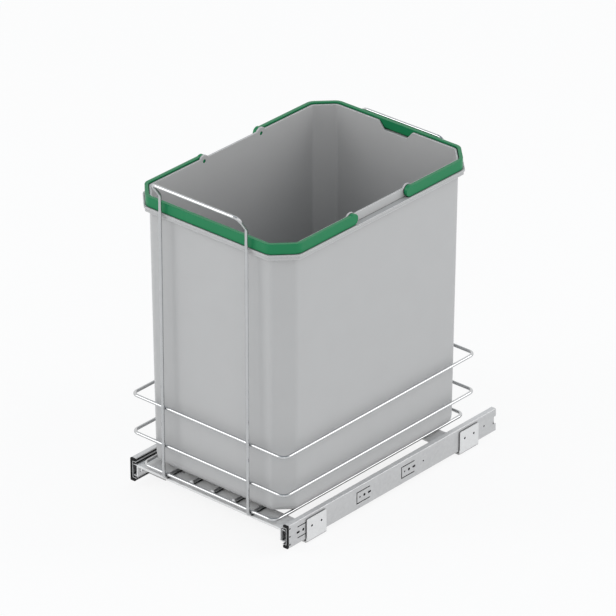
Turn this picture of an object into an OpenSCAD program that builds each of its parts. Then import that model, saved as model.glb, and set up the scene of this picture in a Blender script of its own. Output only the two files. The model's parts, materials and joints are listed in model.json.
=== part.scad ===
// Pull-out waste bin for a base cabinet: a bin with two bail handles stands in a welded wire
// basket, and the basket rides on a pair of three-part ball runners.
// Millimetres. X runs across the cabinet, -Y is the way the bin pulls out, Z is up.
// The origin is on the cabinet floor, in the middle of the four floor screws.

/* [Runners] */
// Width over the outer faces of the two runners
runner_span = 296; // [280:1:420]
// Length of a closed runner
slide_length = 450; // [440:5:600]
// Height of the outer member
slide_height = 36; // [35:0.5:46]
// Depth of a closed runner, from the cabinet side inwards
slide_depth = 12.7; // [12.4:0.1:16]
// Gauge of the outer member's steel
outer_gauge = 1.4; // [1.2:0.1:1.6]
// Gauge of the middle and inner members' steel
rail_gauge = 1.5; // [1.4:0.1:1.7]
// How far the outer member's flanges reach inwards
outer_flange = 8.7; // [7.6:0.1:9.4]
// Radius of a runner ball
ball_r = 1.6; // [1.5:0.05:1.7]
// Balls in one row of a cage
balls_per_row = 8; // [3:1:12]
// Length of a ball cage
cage_length = 200; // [150:5:215]
// Clear height under the runners
slide_lift = 6; // [4:0.5:12]

/* [Brackets] */
// Distance between the front and rear floor screws
bracket_pitch = 330; // [280:5:340]
// Distance from the runners' front end to the front floor screws
bracket_inset = 58.5; // [58.5:0.5:70]
// Width of a bracket along the runner
bracket_width = 41; // [36:1:46]
// Height of a bracket
bracket_height = 37; // [35:0.5:41]
// Thickness of a bracket
bracket_plate = 2; // [1.5:0.1:2.5]
// How far a bracket's foot reaches inwards under its runner
foot_reach = 34; // [31:0.5:38]
// Radius of a floor screw hole
floor_hole_r = 2.25; // [2:0.05:3]
// Distance from a foot's inner edge to its floor screw hole
floor_hole_edge = 8; // [6:0.5:10]
// Radius of a side screw hole
side_hole_r = 1.8; // [1.5:0.05:2.4]
// Distance between the two side screw holes of a bracket
side_hole_pitch = 20; // [16:0.5:24]

/* [Wire basket] */
// Diameter of the basket's wire
wire_d = 4.8; // [4:0.1:5.6]
// Gap from a runner's inner face to the base ring's wire centre
ring_inset = 12.2; // [10:0.1:16]
// Radius of the bends in the ring and the loops
loop_bend = 10; // [7:0.5:14]
// Gap from the bin's foot to a loop's wire centre at the sides
loop_side_gap = 9.9; // [8:0.1:14]
// Gap from the bin's foot to a loop's wire centre at the ends
loop_end_gap = 11.2; // [9:0.1:14]
// Height of the lower loop above the base ring
lower_loop_rise = 45; // [35:1:60]
// Height of the upper loop above the base ring
upper_loop_rise = 105; // [90:1:140]
// Width between the wire centres of the two hoops
hoop_width = 158; // [130:2:180]
// Radius of the bends at the front hoop's bar
hoop_bend = 8; // [6:0.5:9]
// Height of the front hoop's bar
hoop_top = 501; // [496:1:540]
// How far the front hoop's bar leans out
hoop_lean = 16.2; // [12:0.2:22]
// Height over which the front hoop leans out
hoop_lean_rise = 22.5; // [18:0.5:28]
// Height of the rear hoop's bar
rear_hoop_top = 462; // [430:1:500]
// Radius of the bends at the rear hoop's bar
rear_hoop_bend = 14; // [6:0.5:20]
// Number of floor wires between the hoops
floor_wires_n = 3; // [1:1:5]
// Distance from the runners' front end to the floor wires' front ends
floor_wire_inset = 9; // [4:0.5:20]

/* [Crossbars] */
// Depth of a crossbar, along the runners
crossbar_depth = 35; // [30:1:45]
// Sheet thickness of a crossbar
crossbar_sheet = 1.2; // [1:0.1:1.6]
// Height of the crossbars' tops above the runners' middle
crossbar_rise = 10.2; // [10:0.1:14]
// Depth of the crossbars' turned-down edges
crossbar_lip = 3; // [2:0.1:6]
// Distance from the front crossbar's middle to the rear crossbar's middle
crossbar_pitch = 325; // [290:1:335]
// Thickness of a crossbar's end tab
tab_sheet = 1.5; // [1.2:0.1:2]
// Distance between the two screws in an end tab
tab_screw_pitch = 18; // [14:0.5:22]
// Radius of a tab screw's shank
tab_screw_r = 1.9; // [1.5:0.05:2]

/* [Bin] */
// Width of the bin's body at its foot
bin_width = 264.6; // [240:1:280]
// Length of the bin's body at its foot
bin_length = 384.8; // [360:1:400]
// Height of the bin's wall
bin_height = 417.8; // [400:0.2:440]
// How far each wall leans out from foot to top
bin_draft = 3.2; // [1:0.1:5]
// Chamfer of the body's corners
bin_chamfer = 26; // [20:0.5:32]
// Blend radius of the body's corners
bin_blend = 10; // [8:0.5:16]
// Wall thickness of the bin
bin_wall = 2.5; // [2:0.1:3]
// Height of the rounding at the bin's foot
foot_round_h = 14; // [10:0.5:16]
// Width of the rounding at the bin's foot
foot_round_w = 9; // [7:0.5:9]
// How far the rim stands out from the wall
rim_reach = 8.7; // [8.4:0.1:10]
// Thickness of the rim
rim_thick = 2.7; // [2:0.1:4]
// Depth of the band under the rim
rim_band_h = 5; // [3:0.5:7]
// How far the band under the rim lies inside the rim's edge
rim_band_in = 1.5; // [1:0.1:3]
// Blend radius of the rim's corners
rim_blend = 6; // [5:0.5:9]
// Height of the wall above the rim
wall_rise = 13.3; // [12:0.1:15]
// Radius of the raised lobe of the wall at each pivot
lobe_r = 9.2; // [8.6:0.1:10]
// Width of the finger notch in the front and rear walls, at the top
notch_top_w = 63; // [50:1:90]
// Width of the finger notch at its foot
notch_foot_w = 42; // [36:1:48]
// Depth of the finger notch below the wall's top
notch_depth = 12.2; // [10:0.2:13]

/* [Handles] */
// How far a handle's outer face lies inside the rim's edge
strap_setback = 2.5; // [2:0.1:3]
// Thickness of a handle's outer skirt and top
strap_wall = 1.8; // [1.6:0.1:2]
// Width of a handle's top
strap_top_w = 5.1; // [4.8:0.1:5.6]
// Thickness of a handle's inner skirt
inner_skirt_t = 1.4; // [1.2:0.1:1.6]
// Depth of a handle's inner skirt below its top plate
inner_skirt_h = 10; // [6:0.5:12]
// Blend radius of a handle's outer corners
strap_blend = 16; // [12:0.5:18]
// Distance from the bin's middle to a handle's pivot
pivot_offset = 59.2; // [45:0.2:80]
// Radius of the round cap at a handle's pivot
cap_r = 8.4; // [7.8:0.1:8.6]
// Radius of a pivot peg
peg_r = 2.92; // [2.5:0.02:3.2]

/* [Hidden] */
$fn = 48;

zinc = "#b9bcbe";
zinc_pale = "#d4d6d6";
steel_dark = "#8e9194";
chrome = "#d9dadb";
nylon_black = "#1d1d1f";
bin_grey = "#b4b4b4";
handle_green = "#1f7a4d";

// Clearances
running_gap = 0.3;
ball_gap = 0.15;
weld_gap = 0.05;
rest_gap = 0.3;
peg_gap = 0.08;
top_gap = 0.6;
peg_recess = 0.8;
cut = 1;

// Runner section, from the outer face inwards and from the middle upwards
groove = 0.35;
web_step = 1.2;
cage_sheet = 0.6;
arm_sheet = 0.8;
slide_z = slide_lift + slide_height / 2;
side_x = runner_span / 2;
inner_x = side_x - slide_depth;
race_r = ball_r + ball_gap;
outer_in_h = slide_height / 2 - outer_gauge;
outer_ball_h = outer_in_h + groove - race_r;
middle_h = outer_ball_h - race_r + groove;
middle_in_h = middle_h - rail_gauge;
inner_ball_h = middle_in_h + groove - race_r;
inner_h = inner_ball_h - race_r + groove;
middle_web = outer_gauge + web_step;
inner_cage_web = middle_web + rail_gauge + running_gap;
inner_tip = inner_cage_web + cage_sheet + running_gap;
outer_edge = 0.9;
inner_edge = 0.5;
middle_edge = 1.2;
arm_edge = 0.6;
outer_ball_s = outer_flange - ball_r - outer_edge;
inner_ball_s = inner_tip + ball_r + inner_edge;
middle_flange = slide_depth - rail_gauge - middle_edge;
arm_reach = ball_r + arm_edge;
bend_round = 1;
bracket_round = 2;
bracket_bend = 1;
tab_bore_gap = 0.1;
tab_bore_r = tab_screw_r + tab_bore_gap;
screw_head_r = 3.6;
screw_head_h = 2.1;
screw_head_taper = 0.7;

// Cuts in the outer member's web: places of the tabs from the front end, and which end of each
// is slit, 1 for its front end and -1 for its rear end
tab_places = [[32.5, -1], [161.7, 1], [257.9, 1]];
tab_slit_h = 8.7;
tab_slit_w = 1.6;
tab_closed = 16;
tab_open = 12;
tab_hole_pitch = 9.4;
tab_oblong = 2.8;
tab_hole_r = 2.2;
tab_oblong_r = 1.8;
tab_small_r = 1.4;
end_hole_y = 4.6;
end_hole_h = 12.5;
end_hole_r = 1.4;
end_slot_l = 6.5;
end_slot_h = 12;
single_hole_y = 289.3;
single_hole_inset = 26.4;

// Places along the runners
slide_front = -bracket_pitch / 2 - bracket_inset;
buffer_t = 2.5;
member_inset = 1;
cage_start = slide_length / 4 + 5.5;

// Basket levels and places
wire_sides = 16;
bend_step = 18;
wire_r = wire_d / 2;
crossbar_z = slide_z + crossbar_rise;
floor_wire_z = crossbar_z + wire_r + weld_gap;
ring_z = floor_wire_z + wire_d + weld_gap;
loop_half_x = bin_width / 2 + loop_side_gap;
loop_half_y = bin_length / 2 + loop_end_gap;
ring_half_x = inner_x - ring_inset;
basket_y = slide_front + loop_half_y;
hoop_y = loop_half_y + wire_d + weld_gap;
hoop_x = hoop_width / 2;
crossbar_front_y = slide_front + crossbar_depth / 2;

// Bin levels and outlines
bin_z = ring_z + wire_r + rest_gap;
bin_top_z = bin_z + bin_height;
rim_top_z = bin_top_z - wall_rise;
rim_z = rim_top_z - rim_thick;
body_half_x = bin_width / 2 + bin_draft;
body_half_y = bin_length / 2 + bin_draft;
rim_half_x = body_half_x + rim_reach;
rim_half_y = body_half_y + rim_reach;
diag = 2 - sqrt(2);
rim_chamfer = bin_chamfer + rim_reach * diag;
least_blend = 1;
notch_round = 3;
rim_sheet = 2.2;
slice_t = 0.02;

// Handle levels and places
strap_z = rim_top_z + rest_gap;
strap_under_z = bin_top_z + top_gap;
strap_top_z = strap_under_z + strap_wall;
strap_in = strap_setback + strap_top_w;
pivot_z = strap_z + cap_r;

// Square with rounded corners, between two corner points
module soft_square(x0, x1, y0, y1, r) {
    translate([x0 + r, y0]) square([x1 - x0 - 2 * r, y1 - y0]);
    translate([x0, y0 + r]) square([x1 - x0, y1 - y0 - 2 * r]);
    for (x = [x0 + r, x1 - r], y = [y0 + r, y1 - r])
        translate([x, y]) circle(r);
}

function heading(angle) = [cos(angle), sin(angle)];

// Corners of a rectangle with chamfered corners, anticlockwise
function chamfered(hx, hy, c) = [
    [hx, -hy + c], [hx, hy - c], [hx - c, hy], [-hx + c, hy],
    [-hx, hy - c], [-hx, -hy + c], [-hx + c, -hy], [hx - c, -hy]
];

// Rectangle with chamfered corners whose eight corners are blended with radius r
module blended(hx, hy, c, r) {
    core = chamfered(hx - r, hy - r, c - r * diag);
    polygon([for (i = [0 : 7]) each [
        core[i] + r * heading(45 * (i - 1)),
        core[i] + r * heading(45 * i)
    ]]);
    for (p = core) translate(p) circle(r);
}

// The rim's outline, drawn in by t all round, with corners of radius r
module rim_outline(t, r) {
    blended(rim_half_x - t, rim_half_y - t, rim_chamfer - t * diag, max(r, least_blend));
}

// A band between two such outlines, from z0 to z1; r is the radius of the outer corners
module rim_band(t_out, t_in, r, z0, z1) {
    translate([0, basket_y, z0]) linear_extrude(z1 - z0) difference() {
        rim_outline(t_out, r);
        rim_outline(t_in, r - t_in + t_out);
    }
}

// Runner pieces

// Extrudes a runner section along the runner; side is 1 on the right and -1 on the left
module run(side, y0, y1) {
    mirror([side < 0 ? 1 : 0, 0, 0])
        translate([side_x, y1, slide_z]) rotate([90, 0, 0]) mirror([1, 0, 0])
            linear_extrude(y1 - y0) children();
}

// Hole through a runner's web at height h above its middle
module web_hole(side, y, h, r) {
    mirror([side < 0 ? 1 : 0, 0, 0])
        translate([side_x - slide_depth - cut, y, slide_z + h]) rotate([0, 90, 0])
            cylinder(r = r, h = slide_depth + bracket_plate + 2 * cut);
}

// Slot through a runner's web, from y0 to y1 and from h0 to h1
module web_slot(side, y0, y1, h0, h1) {
    mirror([side < 0 ? 1 : 0, 0, 0])
        translate([side_x - outer_gauge - cut, y0, slide_z + h0])
            cube([outer_gauge + 2 * cut, y1 - y0, h1 - h0]);
}

module races(s, h) {
    for (side = [-1, 1]) translate([s, side * h]) circle(race_r);
}

module outer_section() {
    difference() {
        soft_square(0, outer_flange, -slide_height / 2, slide_height / 2, bend_round);
        translate([outer_gauge, -outer_in_h]) square([outer_flange, 2 * outer_in_h]);
        races(outer_ball_s, outer_ball_h);
    }
}

module middle_section() {
    difference() {
        soft_square(middle_web, middle_flange, -middle_h, middle_h, bend_round);
        translate([middle_web + rail_gauge, -middle_in_h]) square([middle_flange, 2 * middle_in_h]);
        races(outer_ball_s, outer_ball_h);
        races(inner_ball_s, inner_ball_h);
    }
}

module inner_section() {
    difference() {
        soft_square(inner_tip, slide_depth, -inner_h, inner_h, bend_round);
        translate([inner_tip - cut, -inner_h + rail_gauge])
            square([slide_depth - rail_gauge - inner_tip + cut, 2 * (inner_h - rail_gauge)]);
        races(inner_ball_s, inner_ball_h);
    }
}

// Tab in the runner's web: slits above, below and at one end of it, and three holes in it,
// of which the last is oblong; way is 1 when the slit end is the front one
module tab_cuts(side, y, way) {
    half = tab_slit_w / 2;
    reach = tab_slit_h + half;
    for (h = [-tab_slit_h, tab_slit_h])
        web_slot(side, y - (way > 0 ? tab_closed : tab_open), y + (way > 0 ? tab_open : tab_closed),
            h - half, h + half);
    web_slot(side, y - way * tab_closed - half, y - way * tab_closed + half, -reach, reach);
    web_hole(side, y - way * tab_hole_pitch, 0, tab_small_r);
    web_hole(side, y, 0, tab_hole_r);
    for (i = [0, 1]) web_hole(side, y + way * (tab_hole_pitch + i * tab_oblong), 0, tab_oblong_r);
}

module outer_member(side) {
    color(zinc) difference() {
        run(side, slide_front + buffer_t, slide_front + slide_length) outer_section();
        for (b = [-1, 1], i = [-1, 1])
            web_hole(side, b * bracket_pitch / 2 + i * side_hole_pitch / 2, 0, side_hole_r);
        for (tab = tab_places) tab_cuts(side, slide_front + tab[0], tab[1]);
        for (h = [-end_hole_h, 0, end_hole_h]) web_hole(side, slide_front + end_hole_y, h, end_hole_r);
        for (y = [single_hole_y, slide_length - single_hole_inset])
            web_hole(side, slide_front + y, 0, tab_small_r);
        web_slot(side, slide_front + slide_length - end_slot_l, slide_front + slide_length + cut,
            -end_slot_h / 2, end_slot_h / 2);
    }
}

// Black end moulding that lines the front edge of the outer member
module front_buffer(side) {
    color(nylon_black) run(side, slide_front, slide_front + buffer_t) difference() {
        soft_square(0, outer_flange, -slide_height / 2, slide_height / 2, bend_round);
        translate([middle_web - running_gap, -middle_h - running_gap])
            square([outer_flange, 2 * (middle_h + running_gap)]);
    }
}

module middle_member(side) {
    color(zinc) run(side, slide_front + member_inset, slide_front + slide_length - member_inset)
        middle_section();
}

module inner_member(side) {
    color(zinc_pale) difference() {
        run(side, slide_front + member_inset, slide_front + slide_length - member_inset) inner_section();
        for (c = [0, 1], i = [-1, 1])
            web_hole(side, crossbar_front_y + c * crossbar_pitch + i * tab_screw_pitch / 2, 0, tab_bore_r);
    }
}

// Ball cage: a web with an arm above and below it, and a row of pockets in each arm
module cage(side, web_s, ball_s, ball_h) {
    half = ball_h + arm_sheet / 2;
    color(steel_dark) difference() {
        run(side, slide_front + cage_start, slide_front + cage_start + cage_length) {
            translate([web_s, -half]) square([cage_sheet, 2 * half]);
            for (h = [-ball_h, ball_h])
                translate([web_s, h - arm_sheet / 2]) square([ball_s + arm_reach - web_s, arm_sheet]);
        }
        ball_places(side, ball_s, 0)
            translate([0, 0, -half - cut]) cylinder(r = ball_r + peg_gap, h = 2 * (half + cut));
    }
}

// Puts its child at each ball of a row
module ball_places(side, ball_s, h) {
    for (i = [0 : balls_per_row - 1])
        mirror([side < 0 ? 1 : 0, 0, 0])
            translate([side_x - ball_s, slide_front + cage_start + (i + 0.5) * cage_length / balls_per_row,
                slide_z + h]) children();
}

module balls(ball_s, ball_h) {
    color(chrome) for (side = [-1, 1], h = [-ball_h, ball_h])
        ball_places(side, ball_s, h) sphere(r = ball_r);
}

// Bracket: a plate on the runner's outer face and a foot that is screwed to the floor
module bracket(side, y) {
    out_x = side_x + bracket_plate;
    bend_out = bracket_bend + bracket_plate;
    color(zinc_pale) difference() {
        mirror([side < 0 ? 1 : 0, 0, 0]) intersection() {
            translate([0, y + bracket_width / 2, 0]) rotate([90, 0, 0]) linear_extrude(bracket_width) {
                translate([side_x, bend_out]) square([bracket_plate, bracket_height - bend_out]);
                translate([out_x - foot_reach, 0]) square([foot_reach - bend_out, bracket_plate]);
                translate([out_x - bend_out, bend_out]) intersection() {
                    difference() {
                        circle(bend_out);
                        circle(bracket_bend);
                    }
                    translate([0, -bend_out]) square(bend_out);
                }
            }
            translate([out_x - foot_reach - cut, y, 0]) rotate([0, 90, 0]) mirror([1, 0, 0])
                linear_extrude(foot_reach + 2 * cut)
                    soft_square(-bracket_height, bracket_height, -bracket_width / 2, bracket_width / 2,
                        bracket_round);
        }
        mirror([side < 0 ? 1 : 0, 0, 0])
            translate([out_x - foot_reach + floor_hole_edge, y, -cut])
                cylinder(r = floor_hole_r, h = bracket_plate + 2 * cut);
        for (i = [-1, 1]) web_hole(side, y + i * side_hole_pitch / 2, 0, side_hole_r);
    }
}

// Wire work

function unit(v) = v / norm(v);
function bend_cut(a, b, c, r) = r * tan(acos(unit(b - a) * unit(c - b)) / 2);

// Straight wire from a to b
module wire_run(a, b) {
    d = b - a;
    translate(a) rotate([0, acos(d[2] / norm(d)), atan2(d[1], d[0])]) cylinder(r = wire_r, h = norm(d));
}

// Bend of radius r in a wire that comes from a, turns at b and goes on to c
module wire_bend(a, b, c, r) {
    u = unit(b - a);
    v = unit(c - b);
    axis = unit(cross(u, v));
    side = cross(axis, u);
    centre = b - u * bend_cut(a, b, c, r) + side * r;
    multmatrix([
        [-side[0], u[0], axis[0], centre[0]],
        [-side[1], u[1], axis[1], centre[1]],
        [-side[2], u[2], axis[2], centre[2]],
        [0, 0, 0, 1]
    ]) rotate_extrude(angle = acos(u * v)) translate([r, 0]) circle(wire_r);
}

// Wire through the points p, with a bend of radius r[i] at each inner point i + 1
module wire_path(p, r) {
    last = len(p) - 1;
    for (i = [0 : last - 1]) {
        u = unit(p[i + 1] - p[i]);
        a = i == 0 ? 0 : bend_cut(p[i - 1], p[i], p[i + 1], r[i - 1]);
        b = i == last - 1 ? 0 : bend_cut(p[i], p[i + 1], p[i + 2], r[i]);
        wire_run(p[i] + u * a, p[i + 1] - u * b);
    }
    for (i = [1 : last - 1]) wire_bend(p[i - 1], p[i], p[i + 1], r[i - 1]);
}

// Closed level ring of wire, butted in the middle of its rear side
module wire_ring(hx, z) {
    hy = loop_half_y;
    color(chrome) translate([0, basket_y, z]) wire_path([
        [0, hy, 0], [-hx, hy, 0], [-hx, -hy, 0], [hx, -hy, 0], [hx, hy, 0], [0, hy, 0]
    ], [for (i = [0 : 3]) loop_bend]);
}

module base_ring() wire_ring(ring_half_x, ring_z);
module lower_loop() wire_ring(loop_half_x, ring_z + lower_loop_rise);
module upper_loop() wire_ring(loop_half_x, ring_z + upper_loop_rise);

// Points of a bend of radius r in a path that comes from a, turns at b and goes on to c
function bend_points(a, b, c, r) =
    let(
        u = unit(b - a),
        axis = unit(cross(u, unit(c - b))),
        side = cross(axis, u),
        turn = acos(u * unit(c - b)),
        centre = b - u * bend_cut(a, b, c, r) + side * r,
        steps = ceil(turn / bend_step)
    )
    [for (i = [0 : steps]) centre - side * r * cos(turn * i / steps) + u * r * sin(turn * i / steps)];

// Unit vectors square to the tangents t, each carried on from the one before it
function carried(t, n, i = 0) =
    i == len(t) ? [] : let(m = unit(n - t[i] * (t[i] * n))) concat([m], carried(t, m, i + 1));

// Wire swept along the points p, with a bend of radius r[i] at each inner point i + 1
module swept_wire(p, r) {
    last = len(p) - 1;
    path = concat([p[0]], [for (i = [1 : last - 1]) each bend_points(p[i - 1], p[i], p[i + 1], r[i - 1])],
        [p[last]]);
    end = len(path) - 1;
    tangents = [for (i = [0 : end]) unit(path[min(i + 1, end)] - path[max(i - 1, 0)])];
    normals = carried(tangents, [1, 0, 0]);
    rings = [for (i = [0 : end], k = [0 : wire_sides - 1])
        path[i] + wire_r * (cos(360 * k / wire_sides) * normals[i]
            + sin(360 * k / wire_sides) * cross(tangents[i], normals[i]))];
    around = [for (k = [0 : wire_sides - 1]) k];
    polyhedron(rings, concat(
        [around],
        [for (i = [0 : end - 1], k = around) let(m = (k + 1) % wire_sides, o = i * wire_sides)
            each [[o + k, o + k + wire_sides, o + m], [o + m, o + k + wire_sides, o + m + wire_sides]]],
        [[for (k = around) end * wire_sides + wire_sides - 1 - k]]
    ));
}

// Hoop from the middle of the floor out under the ring, up past the bin and over to the other
// side; way is -1 for the front hoop and 1 for the rear one
module hoop(way, top_z, bend, lean, lean_rise) {
    y = way * hoop_y;
    top = [hoop_x, y + way * lean, top_z];
    half = concat(
        [[hoop_x, 0, floor_wire_z], [hoop_x, y, floor_wire_z]],
        lean > 0 ? [[hoop_x, y, top_z - lean_rise], top] : [top]
    );
    inner = len(half) - 1;
    foot_bend = wire_d + weld_gap;
    bends = [for (i = [1 : inner]) i == 1 ? foot_bend : bend];
    color(chrome) translate([0, basket_y, 0]) swept_wire(
        concat([for (p = half) [-p[0], p[1], p[2]]], [for (i = [inner : -1 : 0]) half[i]]),
        concat(bends, [for (i = [inner - 1 : -1 : 0]) bends[i]])
    );
}

module front_hoop() hoop(-1, hoop_top, hoop_bend, hoop_lean, hoop_lean_rise);
module rear_hoop() hoop(1, rear_hoop_top, rear_hoop_bend, 0, 0);

module floor_wires() {
    reach = loop_half_y - floor_wire_inset;
    pitch = hoop_width / (floor_wires_n + 1);
    color(chrome) translate([0, basket_y, floor_wire_z])
        for (i = [1 : floor_wires_n])
            wire_run([i * pitch - hoop_x, -reach, 0], [i * pitch - hoop_x, reach, 0]);
}

// Crossbars

module crossbar_section() {
    half = crossbar_depth / 2;
    difference() {
        soft_square(-half, half, -2 * crossbar_lip, 0, bend_round);
        translate([-half + crossbar_sheet, -3 * crossbar_lip])
            square([crossbar_depth - 2 * crossbar_sheet, 3 * crossbar_lip - crossbar_sheet]);
        translate([-crossbar_depth, -3 * crossbar_lip]) square([2 * crossbar_depth, 2 * crossbar_lip]);
    }
}

// Shallow channel across the basket, with an end tab bent down at each inner member
module crossbar(y) {
    color(zinc_pale) translate([0, y, 0]) difference() {
        union() {
            translate([-inner_x, 0, crossbar_z]) rotate([90, 0, 90])
                linear_extrude(2 * inner_x) crossbar_section();
            for (side = [-1, 1]) mirror([side < 0 ? 1 : 0, 0, 0])
                translate([inner_x - tab_sheet, -crossbar_depth / 2, slide_z - inner_h + bend_round])
                    cube([tab_sheet, crossbar_depth, inner_h + crossbar_rise - bend_round - crossbar_sheet / 2]);
        }
        for (side = [-1, 1], i = [-1, 1])
            translate([side * inner_x, i * tab_screw_pitch / 2, slide_z]) rotate([0, 90, 0])
                cylinder(r = tab_bore_r, h = 4 * tab_sheet, center = true);
    }
}

module front_crossbar() crossbar(crossbar_front_y);
module rear_crossbar() crossbar(crossbar_front_y + crossbar_pitch);

// Pan-head screws that hold the crossbars' tabs to the inner members
module crossbar_screws() {
    color(chrome) for (side = [-1, 1], c = [0, 1], i = [-1, 1])
        mirror([side < 0 ? 1 : 0, 0, 0])
            translate([inner_x - tab_sheet, crossbar_front_y + c * crossbar_pitch + i * tab_screw_pitch / 2,
                slide_z]) rotate([0, 90, 0]) {
                    cylinder(r = tab_screw_r, h = tab_sheet + rail_gauge + running_gap);
                    translate([0, 0, -screw_head_h])
                        cylinder(r1 = screw_head_r * screw_head_taper, r2 = screw_head_r, h = screw_head_h);
                }
}

// Bin

// Thin slice of the body at height z, drawn in by t from the wall's outer face
module body_slice(z, t) {
    lean = bin_draft * (z - bin_z) / (bin_top_z - bin_z);
    translate([0, basket_y, z]) linear_extrude(slice_t)
        blended(bin_width / 2 + lean - t, bin_length / 2 + lean - t, bin_chamfer - t * diag,
            max(bin_blend - t, least_blend));
}

// Leaning body with an elliptical rounding at its foot, drawn in by t
module body_form(t, top_z) {
    hull() {
        for (a = [0 : 22.5 : 90])
            body_slice(bin_z + t + (foot_round_h - t / 2) * (1 - sin(a)), t + foot_round_w * (1 - cos(a)),
                $fn = 32);
        body_slice(top_z - slice_t, t, $fn = 32);
    }
}

// Puts a disc of radius r at the two pivots in front of the bin's middle (way -1) or behind it
// (way 1), from x0 to x1 on the right and mirrored on the left
module pivot_discs(way, r, x0, x1) {
    for (side = [-1, 1]) mirror([side < 0 ? 1 : 0, 0, 0])
        translate([x0, basket_y + way * pivot_offset, pivot_z]) rotate([0, 90, 0])
            cylinder(r = r, h = x1 - x0);
}

// Notches with rounded corners in the tops of the front and rear walls, where fingers reach
// under the handles
module finger_notches() {
    top = notch_top_w / 2;
    foot = notch_foot_w / 2;
    translate([0, basket_y + rim_half_y, bin_top_z]) rotate([90, 0, 0]) linear_extrude(2 * rim_half_y)
        offset(r = -notch_round) offset(delta = notch_round)
            offset(r = notch_round) offset(delta = -notch_round) polygon([
                [-foot, -notch_depth], [foot, -notch_depth], [top, 0], [2 * top, 0],
                [2 * top, notch_depth], [-2 * top, notch_depth], [-2 * top, 0], [-top, 0]
            ]);
}

module bin_shell() {
    color(bin_grey) difference() {
        union() {
            body_form(0, bin_top_z);
            translate([0, basket_y, rim_z]) linear_extrude(rim_thick) rim_outline(0, rim_blend);
            rim_band(rim_band_in, rim_band_in + rim_sheet, rim_blend - rim_band_in, rim_z - rim_band_h,
                rim_top_z - rim_thick / 2);
            for (way = [-1, 1]) pivot_discs(way, lobe_r, body_half_x - 2 * bin_wall, body_half_x);
        }
        body_form(bin_wall, bin_top_z + 2 * lobe_r);
        for (way = [-1, 1]) pivot_discs(way, peg_r + peg_gap, body_half_x - 3 * bin_wall, rim_half_x);
        finger_notches();
    }
}

// Handles

// Keeps what lies on the front side of the pivots, from a distance d forward of them
module forward_of(d) {
    intersection() {
        children();
        translate([-rim_half_x - cut, basket_y - rim_half_y - cut, strap_z - cut])
            cube([2 * (rim_half_x + cut), rim_half_y + cut - pivot_offset - d,
                strap_top_z - strap_z + 2 * cut]);
    }
}

// Bail handle that lies on the rim, outside the wall: an outer skirt, a top and an inner
// skirt, with a round cap and a peg at either end
module handle_form() {
    x_out = rim_half_x - strap_setback;
    x_in = rim_half_x - strap_in;
    inner_out = strap_in - inner_skirt_t;
    forward_of(0) {
        rim_band(strap_setback, strap_setback + strap_wall, strap_blend, strap_z, strap_top_z);
        rim_band(strap_setback, strap_in, strap_blend, strap_under_z, strap_top_z);
        rim_band(inner_out, strap_in, strap_blend - inner_out + strap_setback,
            strap_under_z - inner_skirt_h, strap_top_z);
    }
    pivot_discs(-1, cap_r, x_in, x_out);
    pivot_discs(-1, peg_r, body_half_x - bin_wall + peg_recess, x_out - strap_wall);
}

module front_handle() {
    color(handle_green) handle_form();
}

module rear_handle() {
    color(handle_green) translate([0, 2 * basket_y, 0]) mirror([0, 1, 0]) handle_form();
}

module outer_member_left() outer_member(-1);
module outer_member_right() outer_member(1);
module front_buffer_left() front_buffer(-1);
module front_buffer_right() front_buffer(1);
module bracket_front_left() bracket(-1, -bracket_pitch / 2);
module bracket_front_right() bracket(1, -bracket_pitch / 2);
module bracket_rear_left() bracket(-1, bracket_pitch / 2);
module bracket_rear_right() bracket(1, bracket_pitch / 2);
module outer_cage_left() cage(-1, outer_gauge + running_gap, outer_ball_s, outer_ball_h);
module outer_cage_right() cage(1, outer_gauge + running_gap, outer_ball_s, outer_ball_h);
module outer_balls() balls(outer_ball_s, outer_ball_h);
module middle_member_left() middle_member(-1);
module middle_member_right() middle_member(1);
module inner_cage_left() cage(-1, inner_cage_web, inner_ball_s, inner_ball_h);
module inner_cage_right() cage(1, inner_cage_web, inner_ball_s, inner_ball_h);
module inner_balls() balls(inner_ball_s, inner_ball_h);
module inner_member_left() inner_member(-1);
module inner_member_right() inner_member(1);

outer_member_left();
outer_member_right();
front_buffer_left();
front_buffer_right();
bracket_front_left();
bracket_front_right();
bracket_rear_left();
bracket_rear_right();
outer_cage_left();
outer_cage_right();
outer_balls();
middle_member_left();
middle_member_right();
inner_cage_left();
inner_cage_right();
inner_balls();
inner_member_left();
inner_member_right();
front_crossbar();
rear_crossbar();
crossbar_screws();
floor_wires();
base_ring();
lower_loop();
upper_loop();
front_hoop();
rear_hoop();
bin_shell();
front_handle();
rear_handle();
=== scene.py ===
import json
import math

import bmesh
import bpy
from mathutils import Matrix, Vector, noise


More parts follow.
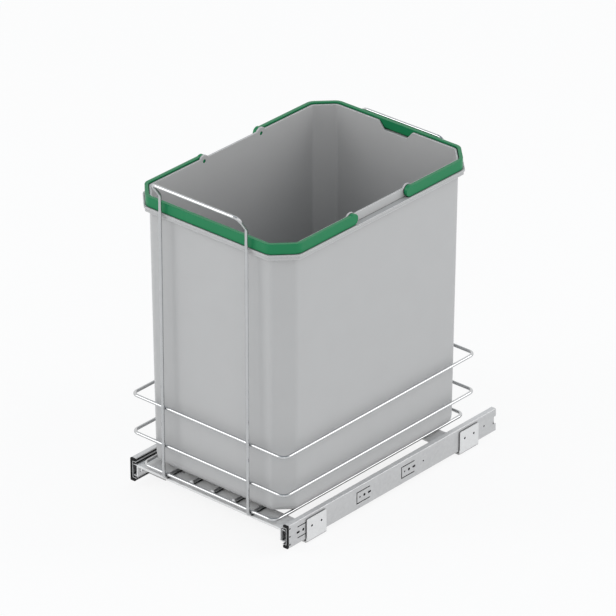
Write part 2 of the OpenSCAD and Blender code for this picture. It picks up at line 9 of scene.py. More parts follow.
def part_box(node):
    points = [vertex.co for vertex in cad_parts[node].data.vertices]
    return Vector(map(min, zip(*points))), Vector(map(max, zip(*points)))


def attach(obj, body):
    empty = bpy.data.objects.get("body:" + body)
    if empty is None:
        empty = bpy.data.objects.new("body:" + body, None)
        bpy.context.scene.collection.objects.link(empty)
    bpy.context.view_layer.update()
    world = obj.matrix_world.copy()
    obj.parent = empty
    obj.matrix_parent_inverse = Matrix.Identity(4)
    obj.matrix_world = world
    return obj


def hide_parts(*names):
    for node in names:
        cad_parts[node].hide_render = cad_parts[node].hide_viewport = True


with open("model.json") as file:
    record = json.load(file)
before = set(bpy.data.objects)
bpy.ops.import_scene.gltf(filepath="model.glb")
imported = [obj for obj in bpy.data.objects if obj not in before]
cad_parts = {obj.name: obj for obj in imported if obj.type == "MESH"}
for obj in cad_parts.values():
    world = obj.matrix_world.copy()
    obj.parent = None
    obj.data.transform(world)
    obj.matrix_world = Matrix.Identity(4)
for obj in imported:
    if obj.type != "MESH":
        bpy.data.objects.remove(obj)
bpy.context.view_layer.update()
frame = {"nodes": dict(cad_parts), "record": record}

# The imported model, and the millimetre in metres
NODES = frame["nodes"]
MM = 0.001

# Camera, found from the lines of the runners, the loops and the rim
IMAGE_SIDE = 616
CAMERA_AZIMUTH = 41.29
CAMERA_ELEVATION = 27.711
CAMERA_DISTANCE = 7.3817
CAMERA_REACH = 50.0
FOCAL_PIXELS = 5282.06
SENSOR_WIDTH = 36.0
AIM_X = 6.33 * MM
AIM_Z = 252.38 * MM

# Sky, as rows of height and colour
SKY_STRENGTH = 1.06
SKY_BANDS = [
    (0.00, (1.00, 1.00, 1.00, 1.0)),
    (0.66, (1.00, 1.00, 1.00, 1.0)),
    (0.86, (0.36, 0.42, 0.47, 1.0)),
    (1.00, (0.20, 0.26, 0.32, 1.0)),
]

# Lamps
SOFTBOX_POWER = 19.0
SOFTBOX_WIDTH = 1.0
SOFTBOX_HEIGHT = 2.8
SOFTBOX_DISTANCE = 3.2
SOFTBOX_ELEVATION = 28.0
SOFTBOX_AZIMUTHS = {"left_softbox": -40.0, "right_softbox": 136.0}
FILL_POWER = 5.0
FILL_SIZE = 2.0
FILL_DISTANCE = 3.6
FILL_AZIMUTH = 43.0
FILL_ELEVATION = 22.0

# Floor
FLOOR_SIZE = 40.0
FLOOR_DROP = 0.5 * MM
FLOOR_TONE = 0.92
FLOOR_TONE_DEEP = 0.91
FLOOR_ROUGHNESS = 0.9
FLOOR_GLOW = 0.86
FLOOR_GLOW_IN_METAL = 0.40

# Colours of the plastics, linear, with the painted highlight for their eased edges
BIN_GREY = (0.475, 0.475, 0.475, 1.0)
BIN_GREY_DEEP = (0.44, 0.44, 0.44, 1.0)
BIN_GREY_EDGE_HIGHLIGHT = (0.98, 0.98, 0.98, 1.0)
HANDLE_GREEN = (0.006, 0.205, 0.076, 1.0)
HANDLE_GREEN_DEEP = (0.005, 0.180, 0.065, 1.0)
HANDLE_GREEN_EDGE_HIGHLIGHT = (0.030, 0.270, 0.120, 1.0)
NYLON_BLACK = (0.003, 0.003, 0.003, 1.0)
NYLON_GREY = (0.007, 0.007, 0.007, 1.0)
NYLON_EDGE_HIGHLIGHT = (0.020, 0.020, 0.021, 1.0)

# Colours of the metals, linear
CHROME_PALE = (0.58, 0.585, 0.59, 1.0)
CHROME_DEEP = (0.49, 0.495, 0.50, 1.0)
STEEL_PALE = (0.84, 0.84, 0.85, 1.0)
STEEL_DEEP = (0.72, 0.72, 0.74, 1.0)
ZINC_PALE = (0.71, 0.71, 0.71, 1.0)
ZINC_DEEP = (0.54, 0.54, 0.545, 1.0)
PLATE_PALE = (0.90, 0.90, 0.90, 1.0)
PLATE_DEEP = (0.77, 0.77, 0.77, 1.0)
# Painted light: the crossbars' zinc is paler than the runners' to stand in for light under the bin.
CROSSBAR_LIT_PALE = (0.86, 0.86, 0.86, 1.0)
CROSSBAR_LIT_DEEP = (0.72, 0.72, 0.72, 1.0)
CAGE_PALE = (0.34, 0.34, 0.35, 1.0)
CAGE_DEEP = (0.22, 0.22, 0.23, 1.0)
# Painted highlight: the drops are near-white so the wire ends show as bright dots.
DROP_HIGHLIGHT_PALE = (0.97, 0.97, 0.97, 1.0)
DROP_HIGHLIGHT_DEEP = (0.88, 0.88, 0.88, 1.0)
# Painted shade: the welds are made dark to stand in for the contact shade where wires cross.
WELD_SHADE_PALE = (0.30, 0.30, 0.31, 1.0)
WELD_SHADE_DEEP = (0.16, 0.16, 0.165, 1.0)

# Shade in holes and tight corners, and dust on faces that look up
CREVICE_SHADE_TONE = (0.012, 0.012, 0.013, 1.0)
CREVICE_STARTS_AT = 0.86
CREVICE_FULL_AT = 0.42
CREVICE_SAMPLES = 8
MOULDED_CREVICE = 2.0 * MM
SHEET_CREVICE = 5.0 * MM
PLATED_CREVICE = 1.6 * MM
DUST_TONE = (0.78, 0.78, 0.78, 1.0)
DUST_AMOUNT = 0.5
DUST_THIN = 0.6
DUST_THICK = 1.3
DUST_FALLOFF = 2.0
DUST_ROUGHNESS = 0.3

# Eased edges, and the painted highlight along them
EDGE_SAMPLES = 4
EDGE_GAIN = 4.0
EDGE_HIGHLIGHT_LEAST = 0.6
SHEET_EDGE = 0.5 * MM
PLATED_EDGE = 0.4 * MM

# Swing of the roughness over a face
MOULDED_SWING = 0.06
SHEET_SWING = 0.10
PLATED_SWING_DOWN = 0.04
PLATED_SWING_UP = 0.05

# Textures: features per metre, then detail and roughness of their noise
GRAINS_PER_METRE = 1500.0
GRAIN_NOISE = (3.0, 0.6)
GRAIN_CELLS = 0.5
PATCHES_PER_METRE = 24.0
PATCH_NOISE = (4.0, 0.55)
STREAK_STRETCH = (1.0, 0.03, 1.0)
STREAK_NOISE = (3.0, 0.65)
BLOOM_NOISE = (30.0, 4.0, 0.6)
RIPPLE_NOISE = (2.0, 0.5)
HAZE_NOISE = (45.0, 4.0, 0.6)
DUST_NOISE = (90.0, 5.0, 0.6)
FLOOR_NOISE = (60.0, 3.0, 0.5)

# Share of each texture in the colour
PATCH_SHARE = 0.7
SPECKLE_SHARE = 0.3
STREAK_SHARE = 0.45
BLOOM_SHARE = 0.35
CRYSTAL_SHARE = 0.2

# Weld beads and drops of plating, as half sizes
HOOP_WELD = (2.1 * MM, 1.1 * MM, 2.1 * MM)
CROSSBAR_WELD = (3.1 * MM, 4.5 * MM, 0.8 * MM)
END_DROP = (2.9 * MM, 2.4 * MM, 2.6 * MM)
END_DROP_INSET = 0.6 * MM
END_DROP_RISE = 1.6 * MM
LUMP_UNEVENNESS = 0.16
LUMP_BUMPS = 1.4
LUMP_SHIFT = 3.1
LUMP_SEGMENTS = 24
LUMP_RINGS = 16
FLOOR_WIRES = 3

# Rivets of the crossbars, the profile in shares of radius and height
RIVET_X = 72.5 * MM
RIVET_BACK = 9.0 * MM
RIVET_RADIUS = 2.8 * MM
RIVET_HEIGHT = 1.1 * MM
RIVET_PROFILE = [
    (1.00, 0.00), (1.00, 0.25), (0.94, 0.55), (0.80, 0.80),
    (0.58, 0.94), (0.46, 1.00), (0.38, 0.96), (0.30, 0.80),
]

# Screws of the crossbars' tabs, the profile in shares of head radius and height
TAB_SHEET = 1.5 * MM
SCREW_SHANK_R = 1.9 * MM
SCREW_HEAD_H = 2.1 * MM
SCREW_HEAD_PROFILE = [
    (1.00, 0.00), (1.00, 0.22), (0.97, 0.45), (0.90, 0.68), (0.76, 0.88), (0.60, 0.97),
]
SCREW_TURN_BY_WAY = 0.4
SCREW_TURN_BY_SIDE = 0.3
RECESS_TOP_R = 1.75 * MM
RECESS_ARM = 1.42 * MM
RECESS_HALF_WIDTH = 0.40 * MM
RECESS_DEPTH = 1.0 * MM
RECESS_FOOT = 0.55

# Meshes
TURN_SEGMENTS = 24
SHARP_EDGE = math.radians(38)


# Places

def middle_of(node):
    """Middle of a node's box."""
    low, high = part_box(node)
    return (Vector(low) + Vector(high)) / 2


CROSSBARS = ("front_crossbar", "rear_crossbar")
BASKET_Y = middle_of("base_ring").y


# Node trees

SOCKETS = {"value": "NodeSocketFloat", "colour": "NodeSocketColor", "normal": "NodeSocketVector"}

# Sockets of the colour mix
MIX_FIRST = 6
MIX_SECOND = 7
MIX_RESULT = 2


def give(tree, socket, value):
    """Links a socket to another one, or sets its value."""
    if isinstance(value, bpy.types.NodeSocket):
        tree.links.new(value, socket)
    else:
        socket.default_value = value


def add_node(tree, kind, inputs=None, **settings):
    """Adds a node with its settings, and sets or links its inputs."""
    made = tree.nodes.new(kind)
    for name, value in settings.items():
        setattr(made, name, value)
    for name, value in (inputs or {}).items():
        give(tree, made.inputs[name], value)
    return made


def add_math(tree, operation, first, second=0.0, clamp=False):
    """Adds a sum on two values."""
    made = add_node(tree, "ShaderNodeMath", {0: first, 1: second},
                    operation=operation, use_clamp=clamp)
    return made.outputs[0]


def add_shares(tree, rows):
    """Adds up values, each times its own share."""
    parts = [add_math(tree, "MULTIPLY", value, share) for value, share in rows]
    total = parts[0]
    for part in parts[1:]:
        total = add_math(tree, "ADD", total, part)
    return total


def add_range(tree, value, low, high):
    """Maps 0..1 to low..high."""
    made = add_node(tree, "ShaderNodeMapRange", {"Value": value, "To Min": low, "To Max": high})
    return made.outputs["Result"]


def add_noise(tree, vector, scale, detail, roughness):
    """Adds a noise of so many features per metre."""
    made = add_node(tree, "ShaderNodeTexNoise", {
        "Vector": vector, "Scale": scale, "Detail": detail, "Roughness": roughness})
    return made.outputs["Fac"]


def add_cells(tree, vector, scale, feature):
    """Adds cells of so many per metre."""
    return add_node(tree, "ShaderNodeTexVoronoi", {"Vector": vector, "Scale": scale}, feature=feature)


def mix_colours(tree, mask, first, second):
    """Goes from the first colour to the second as the mask rises."""
    made = add_node(tree, "ShaderNodeMix", data_type="RGBA")
    give(tree, made.inputs["Factor"], mask)
    give(tree, made.inputs[MIX_FIRST], first)
    give(tree, made.inputs[MIX_SECOND], second)
    return made.outputs[MIX_RESULT]


def place_on_object(tree):
    return tree.nodes.new("ShaderNodeTexCoord").outputs["Object"]


# Node groups, each an effect that several finishes share

def start_group(name, inputs, outputs):
    """Starts a node group from rows of socket name, kind and, for inputs, value."""
    group = bpy.data.node_groups.new(name, "ShaderNodeTree")
    for label, kind, value in inputs:
        socket = group.interface.new_socket(name=label, in_out="INPUT", socket_type=SOCKETS[kind])
        socket.default_value = value
    for label, kind in outputs:
        group.interface.new_socket(name=label, in_out="OUTPUT", socket_type=SOCKETS[kind])
    return group, group.nodes.new("NodeGroupInput"), group.nodes.new("NodeGroupOutput")


def moulded_grain_group():
    """Fine grain of a moulded plastic, and the faint mottle of its colour."""
    group, given, result = start_group(
        "moulded_grain",
        [("Grains per metre", "value", GRAINS_PER_METRE), ("Patches per metre", "value", PATCHES_PER_METRE)],
        [("Height", "value"), ("Mottle", "value")])
    place = place_on_object(group)
    grains = given.outputs["Grains per metre"]
    fine = add_noise(group, place, grains, *GRAIN_NOISE)
    cells = add_cells(group, place, grains, "SMOOTH_F1")
    soft = add_math(group, "MULTIPLY", cells.outputs["Distance"], GRAIN_CELLS)
    patches = add_noise(group, place, given.outputs["Patches per metre"], *PATCH_NOISE)
    mottle = add_shares(group, [(patches, PATCH_SHARE), (fine, SPECKLE_SHARE)])
    group.links.new(add_math(group, "ADD", fine, soft), result.inputs["Height"])
    group.links.new(mottle, result.inputs["Mottle"])
    return group


def rolled_sheet_group():
    """Rolling streaks along the runners, the cloudy bloom of plating and its small crystals."""
    group, given, result = start_group(
        "rolled_sheet",
        [("Streaks per metre", "value", 1400.0), ("Crystals per metre", "value", 260.0)],
        [("Height", "value"), ("Tone", "value")])
    place = place_on_object(group)
    stretched = add_node(group, "ShaderNodeMapping", {"Vector": place, "Scale": STREAK_STRETCH})
    streaks = add_noise(
        group, stretched.outputs["Vector"], given.outputs["Streaks per metre"], *STREAK_NOISE)
    bloom = add_noise(group, place, *BLOOM_NOISE)
    crystals = add_cells(group, place, given.outputs["Crystals per metre"], "F1")
    shade = add_node(group, "ShaderNodeSeparateColor", {"Color": crystals.outputs["Color"]})
    tone = add_shares(group, [
        (streaks, STREAK_SHARE), (bloom, BLOOM_SHARE), (shade.outputs["Red"], CRYSTAL_SHARE)])
    group.links.new(streaks, result.inputs["Height"])
    group.links.new(tone, result.inputs["Tone"])
    return group


def drawn_wire_group():
    """Ripple and faint haze of plated drawn wire."""
    group, given, result = start_group(
        "drawn_wire", [("Ripples per metre", "value", 160.0)], [("Height", "value"), ("Haze", "value")])
    place = place_on_object(group)
    ripple = add_noise(group, place, given.outputs["Ripples per metre"], *RIPPLE_NOISE)
    group.links.new(ripple, result.inputs["Height"])
    group.links.new(add_noise(group, place, *HAZE_NOISE), result.inputs["Haze"])
    return group


def eased_edges_group():
    """Normal of a surface with eased edges and a given relief, and a mask of those edges."""
    group, given, result = start_group(
        "eased_edges",
        [("Radius", "value", 0.6 * MM), ("Height", "value", 0.0), ("Relief", "value", 0.02 * MM)],
        [("Normal", "normal"), ("Edge", "value")])
    eased = add_node(group, "ShaderNodeBevel", {"Radius": given.outputs["Radius"]}, samples=EDGE_SAMPLES)
    bump = add_node(group, "ShaderNodeBump", {
        "Strength": 1.0, "Distance": given.outputs["Relief"], "Height": given.outputs["Height"],
        "Normal": eased.outputs["Normal"]})
    face = group.nodes.new("ShaderNodeNewGeometry").outputs["Normal"]
    along = add_node(group, "ShaderNodeVectorMath", {0: eased.outputs["Normal"], 1: face},
                     operation="DOT_PRODUCT")
    turned = add_math(group, "SUBTRACT", 1.0, along.outputs["Value"])
    group.links.new(bump.outputs["Normal"], result.inputs["Normal"])
    group.links.new(add_math(group, "MULTIPLY", turned, EDGE_GAIN, clamp=True), result.inputs["Edge"])
    return group


def crevice_shade_group():
    """Mask of holes, slots and tight corners, where shade is painted into the colour."""
    group, given, result = start_group(
        "crevices", [("Reach", "value", MOULDED_CREVICE)], [("Mask", "value")])
    open_air = add_node(group, "ShaderNodeAmbientOcclusion", {"Distance": given.outputs["Reach"]},
                        samples=CREVICE_SAMPLES)
    mask = add_node(group, "ShaderNodeMapRange", {
        "Value": open_air.outputs["AO"], "From Min": CREVICE_STARTS_AT, "From Max": CREVICE_FULL_AT,
        "To Min": 0.0, "To Max": 1.0})
    group.links.new(mask.outputs["Result"], result.inputs["Mask"])
    return group


def settled_dust_group():
    """Mask of fine dust on the faces that look up."""
    group, given, result = start_group(
        "settled_dust", [("Amount", "value", DUST_AMOUNT)], [("Mask", "value")])
    face = group.nodes.new("ShaderNodeNewGeometry").outputs["Normal"]
    up = add_node(group, "ShaderNodeSeparateXYZ", {"Vector": face}).outputs["Z"]
    cloud = add_range(group, add_noise(group, place_on_object(group), *DUST_NOISE), DUST_THIN, DUST_THICK)
    lying = add_math(group, "POWER", add_math(group, "MAXIMUM", up, 0.0), DUST_FALLOFF)
    cover = add_math(group, "MULTIPLY", lying, given.outputs["Amount"])
    group.links.new(add_math(group, "MULTIPLY", cover, cloud, clamp=True), result.inputs["Mask"])
    return group


GROUPS = {
    "crevices": crevice_shade_group(),
    "dust": settled_dust_group(),
    "grain": moulded_grain_group(),
    "sheet": rolled_sheet_group(),
    "wire": drawn_wire_group(),
    "edges": eased_edges_group(),
}


def add_group(tree, name, inputs):
    """Adds one of the groups, and sets or links its inputs."""
    return add_node(tree, "ShaderNodeGroup", inputs, node_tree=GROUPS[name])


# Materials

def start_material(name):
    """Starts a material, and gives it with its node tree and its shader."""
    material = bpy.data.materials.new(name)
    material.use_nodes = True
    tree = material.node_tree
    return material, tree, tree.nodes["Principled BSDF"]


def add_edges(tree, radius, texture, relief):
    """Adds eased edges over the relief of a texture."""
    return add_group(tree, "edges", {
        "Radius": radius, "Height": texture.outputs["Height"], "Relief": relief})


def finish_surface(tree, shader, colour, reach, roughness, edges):
    """Paints shade into a colour's crevices, and gives the shader its colour, roughness and normal."""
    shaded = add_group(tree, "crevices", {"Reach": reach})
    # Painted shade: the colour goes to a near-black tone as the crevice mask rises.
    colour = mix_colours(tree, shaded.outputs["Mask"], colour, CREVICE_SHADE_TONE)
    tree.links.new(colour, shader.inputs["Base Color"])
    tree.links.new(roughness, shader.inputs["Roughness"])
    tree.links.new(edges.outputs["Normal"], shader.inputs["Normal"])


def moulded(name, pale, deep, edge_highlight_colour, roughness, radius, relief, gloss):
    """Moulded plastic with a fine grain, a faint mottle and a painted highlight along its eased edges."""
    material, tree, shader = start_material(name)
    grain = add_group(tree, "grain", {
        "Grains per metre": GRAINS_PER_METRE, "Patches per metre": PATCHES_PER_METRE})
    edges = add_edges(tree, radius, grain, relief)
    mottle = grain.outputs["Mottle"]
    # Painted highlight: eased edges go towards a pale colour, patchy with the mottle.
    highlight_strength = add_range(tree, mottle, EDGE_HIGHLIGHT_LEAST, 1.0)
    edge_highlight = add_math(tree, "MULTIPLY", edges.outputs["Edge"], highlight_strength)
    colour = mix_colours(tree, edge_highlight, mix_colours(tree, mottle, deep, pale), edge_highlight_colour)
    swing = add_range(tree, mottle, roughness - MOULDED_SWING, roughness + MOULDED_SWING)
    finish_surface(tree, shader, colour, MOULDED_CREVICE, swing, edges)
    shader.inputs["Specular IOR Level"].default_value = gloss
    return material


def sheet_metal(name, pale, deep, roughness, streaks, crystals, relief):
    """Plated sheet steel: rolling streaks, bloom and crystals, with dust on the faces that look up and a
    painted highlight along its eased edges.
    """
    material, tree, shader = start_material(name)
    sheet = add_group(tree, "sheet", {"Streaks per metre": streaks, "Crystals per metre": crystals})
    edges = add_edges(tree, SHEET_EDGE, sheet, relief)
    dust = add_group(tree, "dust", {"Amount": DUST_AMOUNT}).outputs["Mask"]
    tone = sheet.outputs["Tone"]
    # Painted highlight: eased edges go to the pale tone.
    colour = mix_colours(tree, edges.outputs["Edge"], mix_colours(tree, tone, deep, pale), pale)
    colour = mix_colours(tree, dust, colour, DUST_TONE)
    swing = add_range(tree, tone, roughness + SHEET_SWING, roughness - SHEET_SWING)
    dulled = add_math(tree, "ADD", swing, add_math(tree, "MULTIPLY", dust, DUST_ROUGHNESS))
    finish_surface(tree, shader, colour, SHEET_CREVICE, dulled, edges)
    tree.links.new(add_math(tree, "SUBTRACT", 1.0, dust), shader.inputs["Metallic"])
    return material


def plated(name, pale, deep, roughness, ripples, relief):
    """Bright plating over wire, balls and screws, with a faint haze and painted shade in its joints."""
    material, tree, shader = start_material(name)
    wire = add_group(tree, "wire", {"Ripples per metre": ripples})
    edges = add_edges(tree, PLATED_EDGE, wire, relief)
    haze = wire.outputs["Haze"]
    colour = mix_colours(tree, haze, pale, deep)
    swing = add_range(tree, haze, roughness - PLATED_SWING_DOWN, roughness + PLATED_SWING_UP)
    finish_surface(tree, shader, colour, PLATED_CREVICE, swing, edges)
    shader.inputs["Metallic"].default_value = 1.0
    return material


SLOT_MATERIALS = {
    "bin_plastic": moulded(
        "bin_plastic", BIN_GREY, BIN_GREY_DEEP, BIN_GREY_EDGE_HIGHLIGHT,
        roughness=0.46, radius=1.3 * MM, relief=0.03 * MM, gloss=0.4),
    "handle_plastic": moulded(
        "handle_plastic", HANDLE_GREEN, HANDLE_GREEN_DEEP, HANDLE_GREEN_EDGE_HIGHLIGHT,
        roughness=0.38, radius=0.7 * MM, relief=0.02 * MM, gloss=0.3),
    "nylon": moulded(
        "nylon", NYLON_GREY, NYLON_BLACK, NYLON_EDGE_HIGHLIGHT,
        roughness=0.50, radius=0.4 * MM, relief=0.02 * MM, gloss=0.2),
    "zinc": sheet_metal(
        "zinc", ZINC_PALE, ZINC_DEEP,
        roughness=0.44, streaks=1400.0, crystals=240.0, relief=0.012 * MM),
    "bracket_zinc": sheet_metal(
        "bracket_zinc", PLATE_PALE, PLATE_DEEP,
        roughness=0.40, streaks=900.0, crystals=300.0, relief=0.010 * MM),
    "cage_steel": sheet_metal(
        "cage_steel", CAGE_PALE, CAGE_DEEP,
        roughness=0.42, streaks=1600.0, crystals=400.0, relief=0.010 * MM),
    "ball_steel": plated(
        "ball_steel", STEEL_PALE, STEEL_DEEP, roughness=0.10, ripples=700.0, relief=0.002 * MM),
    "screw_steel": plated(
        "screw_steel", STEEL_PALE, STEEL_DEEP, roughness=0.20, ripples=500.0, relief=0.006 * MM),
    "wire_chrome": plated(
        "wire_chrome", CHROME_PALE, CHROME_DEEP, roughness=0.11, ripples=160.0, relief=0.030 * MM),
}

# Finishes of single pieces, which differ from their slot's own
# Partly painted light: rougher zinc for the crossbars, in a paler tone that stands in for light under the
# bin.
DULL_LIT_ZINC = sheet_metal(
    "dull_lit_zinc", CROSSBAR_LIT_PALE, CROSSBAR_LIT_DEEP,
    roughness=0.66, streaks=1100.0, crystals=220.0, relief=0.014 * MM)
# Painted highlight: pale metal for the bright dots at the wire ends.
DROP_PAINTED_HIGHLIGHT = plated(
    "drop_painted_highlight", DROP_HIGHLIGHT_PALE, DROP_HIGHLIGHT_DEEP, roughness=0.36, ripples=900.0, relief=0.030 * MM)
# Painted shade: dark weld metal for the contact shade at the crossings.
SHADED_WELD_METAL = plated(
    "weld_painted_shade", WELD_SHADE_PALE, WELD_SHADE_DEEP, roughness=0.34, ripples=900.0, relief=0.050 * MM)


def dress_nodes():
    """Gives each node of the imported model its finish."""
    for part in frame["record"]["subparts"]:
        name = part["node"]
        finish = DULL_LIT_ZINC if name in CROSSBARS else SLOT_MATERIALS[part["material_slot"]]
        NODES[name].data.materials.clear()
        NODES[name].data.materials.append(finish)


# Pieces

def mesh_data(name, mesh):
    """Turns a worked mesh into mesh data, and frees it."""
    data = bpy.data.meshes.new(name)
    mesh.to_mesh(data)
    mesh.free()
    return data


def add_piece(name, data, body, slot, material=None):
    """Adds a piece that rides on a body, in its own finish or the slot's."""
    piece = bpy.data.objects.new(name, data)
    bpy.context.scene.collection.objects.link(piece)
    data.materials.append(material or SLOT_MATERIALS[slot])
    for face in data.polygons:
        face.use_smooth = True
    data.set_sharp_from_angle(angle=SHARP_EDGE)
    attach(piece, body)
    return piece


# Welds and drops

def hoop_welds():
    """Middles of the welds between the hoops and the ring and loops."""
    places = []
    for hoop, way in (("front_hoop", -1), ("rear_hoop", 1)):
        half_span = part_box(hoop)[1][0]
        for loop in ("base_ring", "lower_loop", "upper_loop"):
            low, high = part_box(loop)
            wire_r = (high[2] - low[2]) / 2
            y = low[1] if way < 0 else high[1]
            z = (low[2] + high[2]) / 2
            for side in (-1, 1):
                places.append(Vector((side * (half_span - wire_r), y, z)))
    return places


def floor_wire_lines():
    """Where each floor wire stands across the basket, with the hoops' own runs at the ends."""
    low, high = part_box("floor_wires")
    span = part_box("front_hoop")[1][0] - (high[2] - low[2]) / 2
    return [-span + 2 * span * step / (FLOOR_WIRES + 1) for step in range(FLOOR_WIRES + 2)]


def crossbar_welds():
    """Middles of the welds between the wires and the tops of the crossbars."""
    places = []
    for bar in CROSSBARS:
        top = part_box(bar)[1][2]
        places += [Vector((x, middle_of(bar).y, top)) for x in floor_wire_lines()]
    return places


def wire_end_drops():
    """Middles of the drops of plating on the front and rear ends of the floor wires."""
    low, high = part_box("floor_wires")
    z = (low[2] + high[2]) / 2 + END_DROP_RISE
    places = []
    for x in floor_wire_lines()[1:-1]:
        places.append(Vector((x, low[1] + END_DROP_INSET, z)))
        places.append(Vector((x, high[1] - END_DROP_INSET, z)))
    return places


def add_lumps(name, places, half_sizes, material):
    """Adds a small uneven lump of metal at each place."""
    mesh = bmesh.new()
    for index, place in enumerate(places):
        lump = bmesh.ops.create_uvsphere(
            mesh, u_segments=LUMP_SEGMENTS, v_segments=LUMP_RINGS, radius=1.0)
        shift = Vector((index * LUMP_SHIFT, 0, 0))
        for vertex in lump["verts"]:
            swell = 1 + LUMP_UNEVENNESS * noise.noise(vertex.co * LUMP_BUMPS + shift)
            vertex.co = place + Vector(size * way * swell for size, way in zip(half_sizes, vertex.co))
    add_piece(name, mesh_data(name, mesh), "basket", "wire_chrome", material)


# Turned pieces

def ring_of(radius, height):
    """Points of a level ring."""
    turns = [2 * math.pi * step / TURN_SEGMENTS for step in range(TURN_SEGMENTS)]
    return [Vector((radius * math.cos(turn), radius * math.sin(turn), height)) for turn in turns]


def profile_rings(profile, radius, height):
    """Rings of a profile whose rows are shares of the radius and the height."""
    return [ring_of(across * radius, up * height) for across, up in profile]


def join_rings(mesh, lower, upper):
    """Skins the band between two rings."""
    for step in range(len(lower)):
        after = (step + 1) % len(lower)
        mesh.faces.new((lower[step], lower[after], upper[after], upper[step]))


def stack_rings(mesh, matrix, rings):
    """Skins a stack of rings, closes its foot, and gives the vertices of its top ring."""
    made = [[mesh.verts.new(matrix @ point) for point in ring] for ring in rings]
    for lower, upper in zip(made, made[1:]):
        join_rings(mesh, lower, upper)
    mesh.faces.new(list(reversed(made[0])))
    return made[-1]


def edges_round(mesh, ring):
    """Edges of a closed ring of vertices."""
    return [mesh.edges.get(pair) for pair in zip(ring, ring[1:] + ring[:1])]


def add_rivets():
    """Adds the domed rivets on top of the crossbars."""
    mesh = bmesh.new()
    for bar in CROSSBARS:
        low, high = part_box(bar)
        y = (low[1] + high[1]) / 2 + RIVET_BACK
        for side in (-1, 1):
            place = Matrix.Translation((side * RIVET_X, y, high[2]))
            rings = profile_rings(RIVET_PROFILE, RIVET_RADIUS, RIVET_HEIGHT)
            mesh.faces.new(stack_rings(mesh, place, rings))
    add_piece("crossbar_rivets", mesh_data("crossbar_rivets", mesh), "basket", "screw_steel")


def cross_outline(arm, half_width, height):
    """Corners of a cross in order, a quarter of it at a time."""
    corners = [(half_width, half_width), (half_width, arm), (-half_width, arm)]
    outline = []
    for _ in range(4):
        outline += [Vector((x, y, height)) for x, y in corners]
        corners = [(-y, x) for x, y in corners]
    return outline


def cut_recess(mesh, matrix, rim):
    """Fills the top of a screw's head round a cross recess."""
    mouth = cross_outline(RECESS_ARM, RECESS_HALF_WIDTH, SCREW_HEAD_H)
    foot = cross_outline(
        RECESS_ARM * RECESS_FOOT, RECESS_HALF_WIDTH * RECESS_FOOT, SCREW_HEAD_H - RECESS_DEPTH)
    mouth = [mesh.verts.new(matrix @ point) for point in mouth]
    foot = [mesh.verts.new(matrix @ point) for point in foot]
    join_rings(mesh, mouth, foot)
    mesh.faces.new(foot)
    edges = edges_round(mesh, mouth) + edges_round(mesh, rim)
    bmesh.ops.triangle_fill(mesh, use_beauty=True, edges=edges)


def add_screw(mesh, matrix, head_r, shank_length):
    """Adds a pan-head screw with a cross recess, standing on the matrix's own z axis."""
    rings = [ring_of(SCREW_SHANK_R, -shank_length), ring_of(SCREW_SHANK_R, 0.0)]
    rings += profile_rings(SCREW_HEAD_PROFILE, head_r, SCREW_HEAD_H)
    rings.append(ring_of(RECESS_TOP_R, SCREW_HEAD_H))
    cut_recess(mesh, matrix, stack_rings(mesh, matrix, rings))


def screw_stance(place, way, side):
    """Stands a screw at its place, facing into the basket, with a turn of its own."""
    facing = Matrix.Rotation(-side * math.pi / 2, 4, "Y")
    turn = Matrix.Rotation(way * SCREW_TURN_BY_WAY + side * SCREW_TURN_BY_SIDE, 4, "Z")
    return Matrix.Translation(place) @ facing @ turn


def add_screws():
    """Adds the screws that hold the crossbars' tabs to the inner members."""
    low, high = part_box("crossbar_screws")
    head_r = (high[2] - low[2]) / 2
    z = (low[2] + high[2]) / 2
    tab_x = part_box("front_crossbar")[1][0] - TAB_SHEET
    half_pitch = middle_of("front_crossbar").y - (low[1] + head_r)
    mesh = bmesh.new()
    for bar in CROSSBARS:
        for way in (-1, 1):
            for side in (-1, 1):
                place = (side * tab_x, middle_of(bar).y + way * half_pitch, z)
                add_screw(mesh, screw_stance(place, way, side), head_r, high[0] - tab_x)
    bmesh.ops.recalc_face_normals(mesh, faces=mesh.faces)
    screws = add_piece("tab_screws", mesh_data("tab_screws", mesh), "basket", "screw_steel")
    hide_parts("crossbar_screws")


# Studio

def direction_to(azimuth, elevation):
    """Direction from the basket to something round it, at angles in degrees."""
    turn = math.radians(azimuth)
    rise = math.radians(elevation)
    return Vector((
        math.cos(rise) * math.sin(turn),
        -math.cos(rise) * math.cos(turn),
        math.sin(rise),
    ))


def stand_round(name, data, aim, away, distance):
    """Adds a lamp or a camera at a distance from the point that it looks at."""
    made = bpy.data.objects.new(name, data)
    made.location = aim + away * distance
    made.rotation_euler = (-away).to_track_quat("-Z", "Y").to_euler()
    bpy.context.scene.collection.objects.link(made)
    return made


def add_camera():
    """Adds the camera that took the photo."""
    data = bpy.data.cameras.new("camera")
    data.sensor_width = SENSOR_WIDTH
    data.lens = SENSOR_WIDTH * FOCAL_PIXELS / IMAGE_SIDE
    data.clip_end = CAMERA_REACH
    away = direction_to(CAMERA_AZIMUTH, CAMERA_ELEVATION)
    aim = Vector((AIM_X, BASKET_Y, AIM_Z))
    bpy.context.scene.camera = stand_round("camera", data, aim, away, CAMERA_DISTANCE)


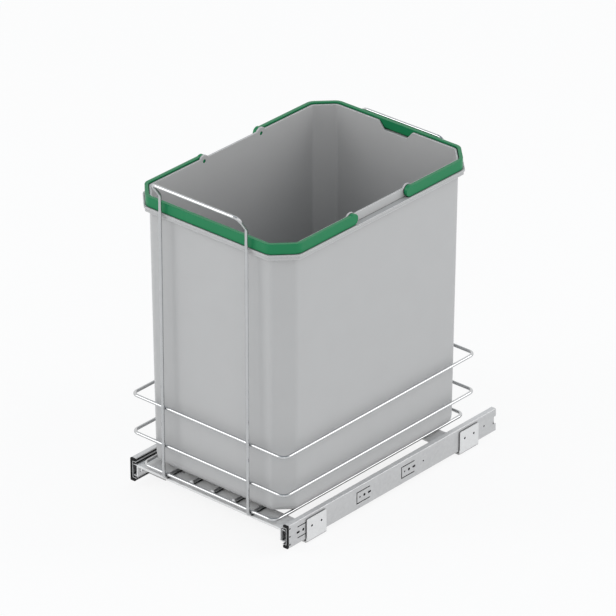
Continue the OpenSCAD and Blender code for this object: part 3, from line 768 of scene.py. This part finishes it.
def add_sky():
    """Pale studio sky, with a dimmer and bluer ceiling that keeps the inside of the bin dark."""
    world = bpy.data.worlds.new("studio")
    world.use_nodes = True
    tree = world.node_tree
    direction = tree.nodes.new("ShaderNodeTexCoord").outputs["Generated"]
    height = add_node(tree, "ShaderNodeSeparateXYZ", {"Vector": direction}).outputs["Z"]
    bands = add_node(tree, "ShaderNodeValToRGB", {"Fac": height})
    ramp = bands.color_ramp
    ramp.interpolation = "EASE"
    for place, colour in SKY_BANDS[1:-1]:
        ramp.elements.new(place).color = colour
    ramp.elements[0].color = SKY_BANDS[0][1]
    ramp.elements[-1].color = SKY_BANDS[-1][1]
    background = tree.nodes["Background"]
    background.inputs["Strength"].default_value = SKY_STRENGTH
    tree.links.new(bands.outputs["Color"], background.inputs["Color"])
    bpy.context.scene.world = world


def add_lamp(name, away, distance, power, width, height, shape):
    """Adds an area lamp that looks at the middle of the basket."""
    data = bpy.data.lights.new(name, "AREA")
    data.shape = shape
    data.size = width
    data.size_y = height
    data.energy = power
    stand_round(name, data, Vector((0, BASKET_Y, AIM_Z)), away, distance)


def add_lamps():
    """Tall softboxes for the bright line along the wires, and a soft fill at the front corner."""
    for name, azimuth in SOFTBOX_AZIMUTHS.items():
        away = direction_to(azimuth, SOFTBOX_ELEVATION)
        add_lamp(name, away, SOFTBOX_DISTANCE, SOFTBOX_POWER, SOFTBOX_WIDTH, SOFTBOX_HEIGHT, "RECTANGLE")
    away = direction_to(FILL_AZIMUTH, FILL_ELEVATION)
    add_lamp("front_fill", away, FILL_DISTANCE, FILL_POWER, FILL_SIZE, FILL_SIZE, "DISK")


def floor_glow_share(tree):
    """How much of the floor is glow, for the camera and in bright metal."""
    ray = tree.nodes.new("ShaderNodeLightPath")
    in_metal = add_math(tree, "MAXIMUM", ray.outputs["Is Glossy Ray"], ray.outputs["Is Transmission Ray"])
    to_camera = add_math(tree, "MULTIPLY", ray.outputs["Is Camera Ray"], FLOOR_GLOW)
    to_metal = add_math(tree, "MULTIPLY", in_metal, FLOOR_GLOW_IN_METAL)
    return add_math(tree, "MAXIMUM", to_camera, to_metal)


def floor_material():
    """Pale floor that reads white to the camera and to bright metal, and keeps a faint shadow."""
    material, tree, shader = start_material("floor")
    speckle = add_noise(tree, place_on_object(tree), *FLOOR_NOISE)
    deep = (FLOOR_TONE_DEEP, FLOOR_TONE_DEEP, FLOOR_TONE_DEEP, 1.0)
    pale = (FLOOR_TONE, FLOOR_TONE, FLOOR_TONE, 1.0)
    tree.links.new(mix_colours(tree, speckle, deep, pale), shader.inputs["Base Color"])
    shader.inputs["Roughness"].default_value = FLOOR_ROUGHNESS
    shader.inputs["Specular IOR Level"].default_value = 0.0
    glow = add_node(tree, "ShaderNodeEmission", {"Strength": 1.0})
    chosen = add_node(tree, "ShaderNodeMixShader", {
        "Fac": floor_glow_share(tree), 1: shader.outputs["BSDF"], 2: glow.outputs["Emission"]})
    tree.links.new(chosen.outputs["Shader"], tree.nodes["Material Output"].inputs["Surface"])
    return material


def add_floor():
    """Adds the plain floor, a hair below the feet."""
    half = FLOOR_SIZE / 2
    data = bpy.data.meshes.new("floor")
    corners = [(-half, -half), (half, -half), (half, half), (-half, half)]
    data.from_pydata([(x, y, -FLOOR_DROP) for x, y in corners], [], [(0, 1, 2, 3)])
    floor = bpy.data.objects.new("floor", data)
    floor.data.materials.append(floor_material())
    bpy.context.scene.collection.objects.link(floor)


add_camera()
add_sky()
add_lamps()
add_floor()
dress_nodes()
add_lumps("hoop_welds", hoop_welds(), HOOP_WELD, SHADED_WELD_METAL)
add_lumps("crossbar_welds", crossbar_welds(), CROSSBAR_WELD, SHADED_WELD_METAL)
add_lumps("wire_end_drops", wire_end_drops(), END_DROP, DROP_PAINTED_HIGHLIGHT)
add_screws()
add_rivets()
bpy.context.scene.view_settings.view_transform = "Standard"

bpy.context.view_layer.update()
